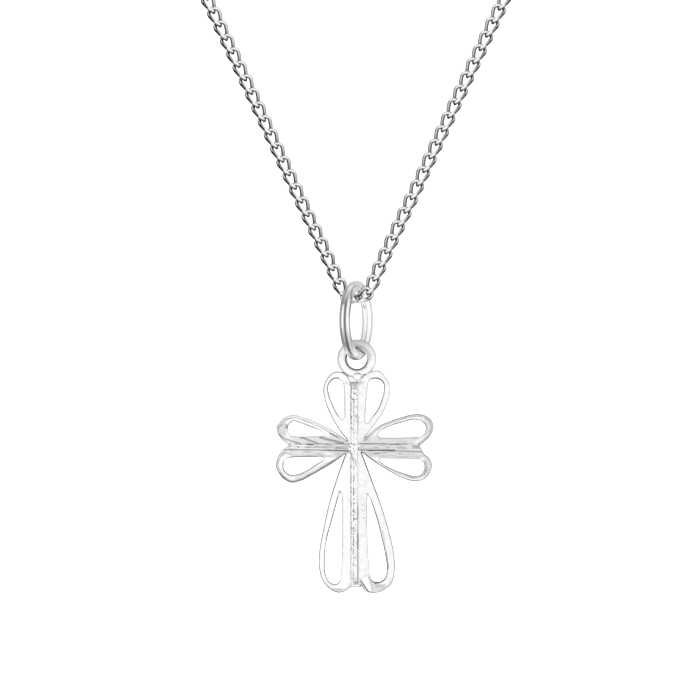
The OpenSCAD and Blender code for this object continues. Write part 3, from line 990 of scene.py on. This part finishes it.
# Fine marks cut into the front and painted dark as lines of shade: a route, its half width and darkness
CROSS_MARKS = [
    ([(-0.24, 6.1), (-0.09, 5.97), (0.16, 5.94), (0.32, 6.03)], 0.055, 0.7),
    ([(-0.58, -0.51), (-0.32, -0.94), (-0.27, -1.37)], 0.05, 0.7),
    ([(-0.08, -1.32), (0.07, -1.51), (0.03, -1.75)], 0.05, 0.6),
    ([(1.15, -6.97), (1.17, -7.59)], 0.05, 0.8),
    ([(-6.62, 0.6), (-5.9, 0.36), (-5.2, 0.16)], 0.1, 0.6),
    ([(-5.19, 0.8), (-4.4, 0.5), (-3.6, 0.2)], 0.11, 0.6),
    ([(-4.6, 0.1), (-4.0, 0.06)], 0.05, 0.95),
    ([(-3.3, 0.74), (-2.31, 0.49), (-1.12, 0.22)], 0.12, 0.65),
    ([(-2.41, 1.12), (-1.75, 0.85)], 0.07, 0.8),
    ([(-3.1, -0.05), (-0.72, -0.15)], 0.07, 0.45),
    ([(-1.91, -0.25), (-0.72, -0.28)], 0.05, 0.7),
    ([(-5.49, -0.15), (-5.29, -0.14)], 0.05, 0.8),
    ([(-4.6, -0.17), (-4.44, -0.15)], 0.05, 0.85),
    ([(-1.91, -0.47), (-0.67, -0.53)], 0.06, 0.95),
    ([(-6.4, -1.19), (-5.8, -1.11), (-3.1, -1.06)], 0.06, 0.75),
    ([(1.32, -0.49), (2.06, -0.46), (3.75, -0.46)], 0.06, 1),
    ([(1.67, -0.8), (2.86, -0.71)], 0.05, 0.75),
    ([(5.45, -0.02), (6.04, -0.1)], 0.06, 0.8),
    ([(5.54, -0.24), (6.04, -0.26)], 0.04, 0.85),
    ([(3.26, 0.05), (4.45, 0.05)], 0.05, 0.75),
    ([(2.46, -1.36), (6.04, -1.33)], 0.05, 0.6),
    ([(0.88, 0.49), (1.58, 1.1)], 0.12, 0.4),
    ([(2.95, -10.22), (3.15, -11.68)], 0.07, 0.7),
    ([(2.62, -8.11), (2.95, -10.22)], 0.1, 0.35),
    ([(-5.6, -3.1), (-4.4, -2.65), (-2.6, -1.7)], 0.2, 0.3),
    ([(-6.56, 1.98), (-6.42, 1.82), (-6.5, 1.62)], 0.06, 0.85),
    ([(1.13, -4.9), (1.15, -7.6)], 0.045, 0.5),
]
MARK_DEPTH = 0.03
# Casting pits: middle, half length, half height and how dark they are
PITS = [(4.33, -0.8, 0.28, 0.06, 0.9), (-6.63, 1.75, 0.1, 0.12, 0.9), (-4.4, 0.15, 0.3, 0.05, 0.8),
        (0.05, -13.1, 0.2, 0.16, 0.95), (1.95, -13.1, 0.22, 0.14, 0.95), (-1.47, -4.43, 0.15, 0.14, 0.85),
        (1.13, -4.62, 0.14, 0.08, 0.8), (6.85, -2.2, 0.05, 0.45, 0.6)]
PIT_DEPTH = 0.05
# Mean share of their darkness that the pits have, and its unevenness
PIT_SHARE = 0.9
UNEVEN_PITS = 0.7
# Tongue at the foot of the bottom arm: its two ends, its half width there, its height, and the
# share of its length over which it rises
TONGUE_ENDS = ((0.72, -12.3), (1.4, -13.7))
TONGUE_HALF = (0.42, 0.2)
TONGUE_RAISE = 0.15
TONGUE_RISE = 0.3
# Distances from the tongue's outline where its height starts to fall and ends, and where it is bare
# of painted shade and no longer is
TONGUE_SLOPE = (-0.05, 0.05)
TONGUE_BARE = (-0.08, -0.02)
# Painted shade line round the tongue on its right and left: darkness, distance and half width, and
# the painted grey shade beyond it with the distances where it fades and ends
TONGUE_LINE = (0.4, 0.9)
TONGUE_LINE_PLACE = (0.04, 0.08)
TONGUE_GREY = 0.4
TONGUE_GREY_REACH = (0.15, 0.45)
# Unevenness of the front, of the ridge tops and of the back, how far the back lies inside its full
# depth, and the radius of its round edges
SURFACE_ROUGHNESS = {"front": 0.008, "ridge": 0.012, "back": 0.01}
BACK_INSET = 0.012
BACK_ROUND = 0.14
# Mottled grey of the back, its unevenness, and the painted shade along its outline and its reach
BACK_GREY = 0.2
UNEVEN_BACK = (0.08, 0.06)
BACK_OUTLINE = 0.45
BACK_OUTLINE_REACH = (0.03, 0.16)


def edge_points(loops, depths):
    """Points of the loops, and rows of points inside them at the given distances."""
    rows = [np.concatenate(loops)]
    for depth in depths:
        row = np.concatenate([loop + depth * inward_normals(loop) for loop in loops])
        row = row[is_inside(row, loops)]
        rows.append(row[distances(row, loops) > ROW_CLEARANCE * depth])
    return np.concatenate(rows)


def with_grid(fixed, loops, step):
    """The fixed points and a grid between them over the metal."""
    columns = np.arange(GRID_LOW[0], GRID_HIGH[0], step)
    lines = np.arange(GRID_LOW[1], GRID_HIGH[1], step * math.sqrt(3) / 2)
    grid = np.array([(x + (step / 2 if k % 2 else 0), z) for k, z in enumerate(lines) for x in columns])
    grid = grid[is_inside(grid, loops)]
    return np.concatenate([fixed, away_from(grid, fixed, step * GRID_CLEARANCE)])


def ridge_points(loops, edge_rows):
    """Rows of points along both ridges, clear of the rows along the edges."""
    upright, level = (
        np.array([(arm["middle"] + beside, along)
                  for along in np.arange(*arm["rows"], RIDGE_STEP) for beside in RIDGE_ROWS])
        for arm in (UPRIGHT, LEVEL))
    level = level[:, ::-1]
    level = level[np.abs(level[:, 0] - UPRIGHT["middle"]) > RIDGE_ROWS[-1] + FLANK]
    ridges = np.concatenate([upright, level])
    ridges = ridges[is_inside(ridges, loops)]
    ridges = ridges[distances(ridges, loops) > RIDGE_INSET]
    return away_from(ridges, edge_rows, RIDGE_CLEARANCE)


def triangulate(flat, loops):
    """Points and triangles of the metal between the loops, whose points come first."""
    polygons, start = [], 0
    for loop in loops:
        numbers = list(range(start, start + len(loop)))
        polygons.append(numbers if signed_area(loop) > 0 else numbers[::-1])
        start += len(loop)
    corners, _, triangles, _, _, owners = delaunay_2d_cdt(
        [Vector(p) for p in flat], [], polygons, INNER_TRIANGLES, SAME_POINT, True)
    triangles = [t for t, owner in zip(triangles, owners) if list(owner) == [0]]
    return np.array([tuple(corner) for corner in corners]), triangles


def edge_fall(to_edge, radius):
    """How far a round edge lies below the face at a distance from the edge."""
    into = np.clip(radius - to_edge, 0, radius)
    return radius - np.sqrt(radius**2 - into**2)


def groove(off, half_width):
    """Share of the full depth of a thin cut line at distances from its middle."""
    return np.exp(-(off / half_width) ** 2)


def dashes(points, name):
    """Whether a dotted line is cut at each point, from 0 to 1."""
    length, least = DOTS[name]
    coarse, fine = DOT_OFFSETS
    pattern = rough(points, length, coarse) + 0.5 * rough(points, length / 2, fine)
    return rise(least - DOT_EDGE, least + DOT_EDGE, pattern)


def spot(points, x, z, half_length, half_height, power):
    """Share of a spot at each point, which ends more suddenly with a greater power."""
    off = (points - [x, z]) / [half_length, half_height]
    return np.exp(-(off**power).sum(1))


def beside_segment(points, start, end):
    """Share of the way along a segment, distance from it, and whether a point is on its right."""
    start, run = np.array(start), np.array(end) - start
    way = np.clip((points - start) @ run / (run @ run), 0, 1)
    away = points - start - way[:, None] * run
    return way, np.linalg.norm(away, axis=1), away[:, 0] > 0


def place_along(points, along):
    """Place beside an arm at points along it, read off straight lines."""
    return np.interp(along, *np.array(points).T)


def arm_heights(beside, along, edges, ends):
    """Height of an arm's ridge and of the bars that slope away on both sides of it."""
    low_edge, high_edge = (place_along(edge, along) for edge in edges)
    outside = np.maximum(low_edge - beside, beside - high_edge)
    bar = BAR_HEIGHT - BAR_SLOPE * outside
    on_ridge = rise(-FLANK, FLANK, -outside)
    to_end = np.minimum(along - ends[0], ends[1] - along)
    height = np.minimum(bar + (RIDGE_HEIGHT - bar) * on_ridge, RIM_HEIGHT + END_SLOPE * to_end)
    return height, outside


def cut_lines(points, on_upright, on_level):
    """Depth and painted shade of the lines cut along the ridges."""
    x, z = points.T
    near_hub = fall(*LINE_HUB_REACH, np.abs(x))
    wander = LINE_WANDER * rough(points * [0, 1], *NOISE["wander"])
    left, top, right = (on_upright * place_along(shade_along, z) for shade_along in UPRIGHT_LINE_SHADE)
    upper = UPPER_LINE["plain"] + UPPER_LINE["hub"] * near_hub * (x > 0)
    upper = upper + UPPER_LINE["dots"] * dashes(points, "upper")
    # Painted shade in the cut lines, as dark creases.
    darks = [
        left * (LEFT_LINE["plain"] + LEFT_LINE["dots"] * dashes(points, "left")),
        top * dashes(points, "top"),
        right,
        on_level * (LOWER_LINE["plain"] + LOWER_LINE["hub"] * near_hub),
        on_level * np.minimum(upper, UPPER_LINE["most"]),
        on_level * (LEVEL_LINE["plain"] + LEVEL_LINE["dots"] * dashes(points, "level")),
    ]
    beside = [x - place_along(line, z) for line in (UPRIGHT_EDGES[0], UPRIGHT_TOP, UPRIGHT_EDGES[1])]
    beside += [z - place_along(line, x) for line in (*LEVEL_EDGES, LEVEL_TOP)]
    cut, tarnish = 0, 0
    for off, dark, (half_width, depth, share) in zip(beside, darks, LINES):
        line = groove(off - share * wander, half_width)
        cut = cut + depth * line * (dark > 0)
        tarnish = np.maximum(tarnish, dark * line)
    return cut, tarnish


def level_grey(points, beside_level):
    """Soft brushed grey painted as shade on the level arm, darker below its ridge where the bars face
    down.
    """
    x, z = points.T
    # Painted shade: the bars below the ridge face down and are painted darker than those above.
    left, right = (np.where(z < LEVEL["middle"], *greys) for greys in BAR_GREYS)
    grey = np.where(x > 0, right, left) * rise(0, SOFT_EDGE, beside_level)
    grey = grey + place_along(LEVEL_TOP_GREY, x) * rise(0, SOFT_EDGE, -beside_level)
    brushed = 1 + np.where(x > 0, *BRUSHED) * rough(points * BRUSH_STRETCH, *NOISE["brush"])
    return grey * fall(*BAR_REACH, beside_level) * brushed


def edge_tarnish(points, to_edge, outward, on_outline):
    """Painted shade along the edges, darker where one faces down, with a second line inside some rims."""
    x, z = points.T
    left, on_window = x < 0, ~on_outline
    on_arm = np.abs(x) > np.abs(z) + ARM_START
    on_stem = ~on_arm
    facing_down = np.maximum(0, -outward[:, 1])
    places = OUTLINE_PLACE
    notch = fall(*places["notch"], np.abs(z)) * on_outline * on_arm * left
    upper_left = on_arm * on_outline * left * rise(*places["upper_left"], outward[:, 1])
    waist = on_outline * on_stem * rise(*places["waist"], z) * (z < 0)
    low_windows = on_window * on_stem * (z < places["low_windows"]) * (np.abs(x) > STEM_HALF)
    from_ridge = np.where(on_arm, np.abs(z), np.abs(x))
    on_bar = fall(*places["bars"], from_ridge) * on_window

    # Painted shade along the rounded edges, darker where they face down away from the light.
    strength = (
        np.where(on_stem & on_outline & (z > 0), np.where(left, *OUTLINE["top"]), OUTLINE["all"])
        + OUTLINE["window_tops"] * (z > places["window_tops"]) * on_window * facing_down
        + np.where(x <= 0, *OUTLINE["waist"]) * waist
        + OUTLINE["low_windows"] * low_windows
        + OUTLINE["low_left"] * rise(*places["low_left"], -z) * on_window * left
    ) * (1 - OUTLINE["notch"] * notch) * (1 - OUTLINE["upper_left"] * upper_left)
    uneven = 1 + OUTLINE["uneven"] * rough(points, *NOISE["outline"])
    outline = (strength + OUTLINE["facing_down"] * facing_down) * uneven
    outline = outline * (1 - np.where(left, *OUTLINE["bars"]) * on_bar)
    outline = outline * fall(*places["all"], to_edge)

    place, half_width = (start + growth * upper_left for start, growth in zip(SECOND_PLACE, SECOND_GROWTH))
    on_rim = on_arm * on_outline * (1 - NOTCH_RIM_SHARE * notch)
    second = groove(to_edge - place, half_width) * (
        np.where((x > 0) & (z < 0), SECOND_LINE_SHADE["lower_right_rim"], SECOND_LINE_SHADE["rims"]) * on_rim
        + SECOND_LINE_SHADE["right_window"] * on_arm * on_window * (x > 0) * (z < RIGHT_WINDOW_BELOW)
        + SECOND_LINE_SHADE["feet"] * on_stem * on_outline * rise(*FEET_PLACE, -z)
    ) * (1 + UNEVEN_SECOND * rough(points, *NOISE["second"]))
    shade = RIM_SHADE * fall(*RIM_SHADE_REACH, to_edge) * on_rim * left * (facing_down > 0.5)
    return np.max([outline, second, shade], axis=0)


def lobe_ripples(points, to_edge):
    """Depth and painted shade of the ripples and of the soft grey round the ends of the level arm."""
    x, z = points.T
    on_lobe = rise(*LOBES, np.abs(x))
    ripple = 0.5 + 0.5 * np.cos(2 * np.pi * to_edge / RIPPLE_STEP + 3 * rough(points, *NOISE["ripple"]))
    plain = (x < 0) & (z < 0)
    # Painted shade on the lobe ends, which turn away sideways.
    grey, ripples = (np.where(plain, *pair) for pair in zip(PLAIN_LOBE, RIPPLED_LOBE))
    return RIPPLE_DEPTH * on_lobe * ripple, on_lobe * (grey + ripples * ripple**3)


def foot_tongue(points):
    """Height of the tongue at the foot of the right bar, where it is bare, and the painted shade round it.
    """
    way, off, on_right = beside_segment(points, *TONGUE_ENDS)
    off = off - (TONGUE_HALF[0] + (TONGUE_HALF[1] - TONGUE_HALF[0]) * way)
    grown = rise(0, TONGUE_RISE, way)
    raised = TONGUE_RAISE * grown * fall(*TONGUE_SLOPE, off)
    bare = grown * fall(*TONGUE_BARE, off)
    place, half_width = TONGUE_LINE_PLACE
    # Painted shade round the raised tongue.
    line = groove(off - place, half_width) * np.where(on_right, *TONGUE_LINE)
    grey = TONGUE_GREY * (off > 0) * fall(*TONGUE_GREY_REACH, off)
    return raised, bare, grown * np.maximum(line, grey)


def front_surface(points, to_edge, outward, on_outline):
    """Height of the face before the middle plane, and its tarnish and painted shade."""
    x, z = points.T
    upright, beside_upright = arm_heights(x, z, UPRIGHT_EDGES, UPRIGHT["ends"])
    level, beside_level = arm_heights(z, x, LEVEL_EDGES, LEVEL["ends"])
    foot = rise(*FOOT_CLEAR, z - UPRIGHT["ends"][0])
    on_upright = (upright >= level) * foot * rise(*UPRIGHT_CLEAR, np.abs(z - LEVEL["middle"]))
    on_level = (level > upright) * rise(*LEVEL_CLEAR, np.abs(x - UPRIGHT["middle"]))
    on_top = rise(0, TOP_INSET, -beside_upright) * (upright >= level)
    line_depth, line_tarnish = cut_lines(points, on_upright, on_level)
    ripple_depth, lobe_tarnish = lobe_ripples(points, to_edge)
    raised, bare, tongue_tarnish = foot_tongue(points)
    # Marks cut into the front and painted as dark lines of shade.
    marked = marks_along(points, CROSS_MARKS)
    pits = [spot(points, *place, power=2) for *place, _ in PITS]

    height = (
        np.maximum(RIM_HEIGHT, np.maximum(upright, level))
        - line_depth - ripple_depth + raised - PIT_DEPTH * sum(pits) - MARK_DEPTH * marked
        + SURFACE_ROUGHNESS["ridge"] * rough(points, *NOISE["ridge"]) * on_top
        - edge_fall(to_edge, EDGE_ROUND)
        + SURFACE_ROUGHNESS["front"] * rough(points, *NOISE["front"])
    )

    haze = CAST_HAZE + RIGHT_HAZE * np.sign(x) + sum(
        share * rough(points, *NOISE[kind]) for share, kind in zip(UNEVEN_HAZE, ("haze", "fine_haze")))
    under_tongue = np.max([
        haze, line_tarnish, level_grey(points, beside_level) * on_level,
        edge_tarnish(points, to_edge, outward, on_outline), lobe_tarnish,
    ], axis=0)
    specks = rise(*SPECK_NOISE, rough(points * SPECK_STRETCH, *NOISE["specks"]))
    bar_specks = rise(*BAR_SPECK_NOISE, rough(points, *NOISE["bar_specks"]))
    hub = fall(*HUB_REACH, np.hypot(x - UPRIGHT["middle"], z - LEVEL["middle"]))
    uneven_feet = 1 + UNEVEN_FEET * rough(points, *NOISE["feet"])
    uneven_pits = PIT_SHARE + UNEVEN_PITS * rough(points, *NOISE["pits"])
    tarnish = np.max([
        under_tongue * (1 - bare), tongue_tarnish, marked,
        # Painted shade at the feet of the petals.
        *(dark * spot(points, *place, power=4) * uneven_feet for *place, dark in FOOT_GREYS),
        *(pit * dark * uneven_pits for pit, (*_, dark) in zip(pits, PITS)),
        SPECK_TARNISH * specks * on_top * place_along(SPECK_WEAR, z),
        hub * (HUB_GREY + HUB_SPECKS * specks),
        BAR_SPECKS[-1] * spot(points, *BAR_SPECKS[:-1], power=4) * bar_specks,
    ], axis=0)
    return height, tarnish


def back_surface(points, to_edge):
    """Depth of the flat back behind the middle plane, rounded and uneven as cast, and its mottled grey
    with painted shade along its outline.
    """
    depth = (BACK_DEPTH - BACK_INSET - edge_fall(to_edge, BACK_ROUND)
             + SURFACE_ROUGHNESS["back"] * rough(points, *NOISE["back"]))
    mottled = BACK_GREY + sum(
        share * rough(points, *NOISE[kind])
        for share, kind in zip(UNEVEN_BACK, ("back_haze", "fine_back_haze")))
    # Painted shade along the back's outline.
    outline = BACK_OUTLINE * fall(*BACK_OUTLINE_REACH, to_edge)
    return depth, np.maximum(np.maximum(mottled, outline), 0)


def cast_body():
    """Points, faces, and tarnish and painted shade of the petals, bars and ridges as one closed shape."""
    loops = petal_loops()
    rim_count = sum(len(loop) for loop in loops)
    edge_rows = edge_points(loops, EDGE_ROWS)
    fixed = np.concatenate([edge_rows, ridge_points(loops, edge_rows)])
    face, front_triangles = triangulate(with_grid(fixed, loops, FACE_STEP), loops)
    rear, back_triangles = triangulate(with_grid(edge_points(loops, BACK_ROWS), loops, BACK_STEP), loops)
    to_edge, nearest = nearest_edges(face, loops)
    outward = -np.concatenate([inward_normals(loop) for loop in loops])[nearest]
    front, tarnish = front_surface(face, to_edge, outward, nearest < len(loops[0]))
    back, back_tarnish = back_surface(rear, distances(rear, loops))
    first_wall = len(face) + len(rear)
    walls = []
    for row in range(1, WALL_ROWS):
        share = row / WALL_ROWS
        depth = back[:rim_count] * share - front[:rim_count] * (1 - share)
        walls.append(np.stack([face[:rim_count, 0], depth, face[:rim_count, 1]], 1))
    faces = [list(t) for t in front_triangles]
    faces += [[len(face) + i for i in t[::-1]] for t in back_triangles]
    rows = [0] + [first_wall + row * rim_count for row in range(WALL_ROWS - 1)] + [len(face)]
    start = 0
    for loop in loops:
        for k in range(len(loop)):
            a, b = start + k, start + (k + 1) % len(loop)
            faces += [[upper + a, lower + a, lower + b, upper + b] for upper, lower in zip(rows, rows[1:])]
        start += len(loop)
    front_points = np.stack([face[:, 0], -front, face[:, 1]], 1)
    back_points = np.stack([rear[:, 0], back, rear[:, 1]], 1)
    points = np.concatenate([front_points, back_points] + walls)
    # Painted shade on the side walls.
    wall_tarnish = np.full(len(points) - first_wall, WALL_SHADE)
    return points, faces, np.concatenate([tarnish, back_tarnish, wall_tarnish])


def ball(centre, radius, segments=32, rings=16):
    """Points and faces of a closed ball."""
    slopes = np.linspace(0, np.pi, rings + 1)[1:-1]
    profile = [(radius - radius * math.cos(slope), radius * math.sin(slope)) for slope in slopes]
    return lathe(np.array(centre, float) - [0, 0, radius], (0, 0, 1), profile, segments)


# Painted shade marks along the seam where the eyelet meets the petals, as for the cross
EYELET_MARKS = [
    ([(-0.1, 6.75), (0.22, 6.82), (0.54, 6.76)], 0.06, 0.85),
    ([(0.72, 6.66), (0.98, 6.75)], 0.05, 0.85),
    ([(-0.99, 6.77), (-0.96, 6.73)], 0.07, 0.9),
    ([(1.02, 7.35), (1.07, 7.43)], 0.08, 0.5),
]
# Painted grey shade of the eyelet all over, on its upper right, with more towards its hole and at the
# top, and round its outside, and painted shade of its inner wall on the left and below
EYELET_GREY = 0.17
UPPER_RIGHT_GREYS = (0.22, 0.27, 0.12)
OUTER_GREY = 0.45
INNER_WALL_SHADE = (0.95, 0.75)
# Turn of the darkest place of the left side and of the upper right side round the eyelet
LEFT_TURN = 0.3
UPPER_RIGHT_TURN = 0.85
# Where each of the eyelet's zones starts and is full, as shares of its own or its stock's radius,
# and the share of the greys that its lower part takes off
EYELET_ZONES = {
    "inner": (0.5, 0.8), "outer": (0.88, 0.97), "soft": (-0.4, 0.4), "left": (-0.2, 0.7),
    "below": (-0.3, 0.5), "upper_right": (0.1, 0.8), "top": (0.6, 1),
}
BELOW_SHARE = 0.4


def eyelet_tarnish(points):
    """Painted shade of the eyelet's points: round its inner wall, softly on its right and on its outline.
    """
    around, about = torus_angles(EYELET_SEGMENTS, EYELET_SIDES)
    zones = EYELET_ZONES
    inner, outer = rise(*zones["inner"], -np.cos(about)), rise(*zones["outer"], np.cos(about))
    soft = rise(*zones["soft"], -np.cos(about)) * (1 - inner)
    left = rise(*zones["left"], -np.cos(around + LEFT_TURN))
    below = rise(*zones["below"], -np.sin(around))
    upper_right = rise(*zones["upper_right"], np.cos(around - UPPER_RIGHT_TURN))
    top = rise(*zones["top"], np.sin(around))
    plain, softer, higher = UPPER_RIGHT_GREYS
    grey = np.maximum((plain + softer * soft + higher * top) * upper_right, EYELET_GREY)
    # Painted shade on the inner wall of the eyelet's hole, on the left and below.
    wall = inner * np.maximum(INNER_WALL_SHADE[0] * left, INNER_WALL_SHADE[1] * below)
    tarnish = wall + OUTER_GREY * outer * (1 - below) + grey * (1 - BELOW_SHARE * below)
    # Painted shade along the seam with the petals.
    marked = marks_along(points[:, [0, 2]], EYELET_MARKS) * (points[:, 1] < 0)
    return np.maximum(tarnish.reshape(-1), marked)


def make_cross(material):
    points, faces, tarnish = cast_body()
    eyelet = torus((EYELET_PLACE[0], 0, EYELET_PLACE[1]), (1, 0, 0), (0, 0, 1),
                   EYELET_R, EYELET_STOCK_R, EYELET_SEGMENTS, EYELET_SIDES)
    bead = ball((BEAD_PLACE[0], -BEAD_HEIGHT, BEAD_PLACE[1]), BEAD_R)
    points, faces = join((points, faces), eyelet, bead)
    low, high = (np.array(corner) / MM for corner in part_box("cross"))
    crossing = np.array([
        low[0] - points[:, 0].min(),
        high[1] - BACK_DEPTH,
        high[2] - EYELET_PLACE[1] - EYELET_R - EYELET_STOCK_R,
    ])
    tarnish = np.concatenate([tarnish, eyelet_tarnish(eyelet[0]), np.zeros(len(bead[0]))])
    make_piece("cast_cross", points + crossing, faces, "cross_body", "cast_silver", "cross",
               material, tarnish=tarnish, frost=np.full(len(points), CAST_FROST))


make_world()
make_floor()
make_chain(silver("chain_silver", bright=(0.95, 0.95, 0.94), dull=(0.9, 0.9, 0.89),
                  dark=(0.04, 0.04, 0.04), edge=0.35, roughness=(0.07, 0.14),
                  patch_mm=0.5, grain_mm=0.05, grain_height_mm=0.004))
wire_silver = silver("wire_silver", bright=(0.95, 0.945, 0.935), dull=(0.9, 0.89, 0.88),
                     dark=(0.17, 0.16, 0.15), edge=0.7, roughness=(0.08, 0.18),
                     patch_mm=1.5, grain_mm=0.12, grain_height_mm=0.0015)
make_clasp(wire_silver)
make_ring(wire_silver)
make_cross(silver("cast_silver", bright=(0.96, 0.96, 0.955), dull=(0.92, 0.92, 0.91),
                  dark=(0.08, 0.08, 0.08), edge=0.5, roughness=(0.16, 0.3),
                  patch_mm=0.8, grain_mm=0.07, grain_height_mm=0.006))
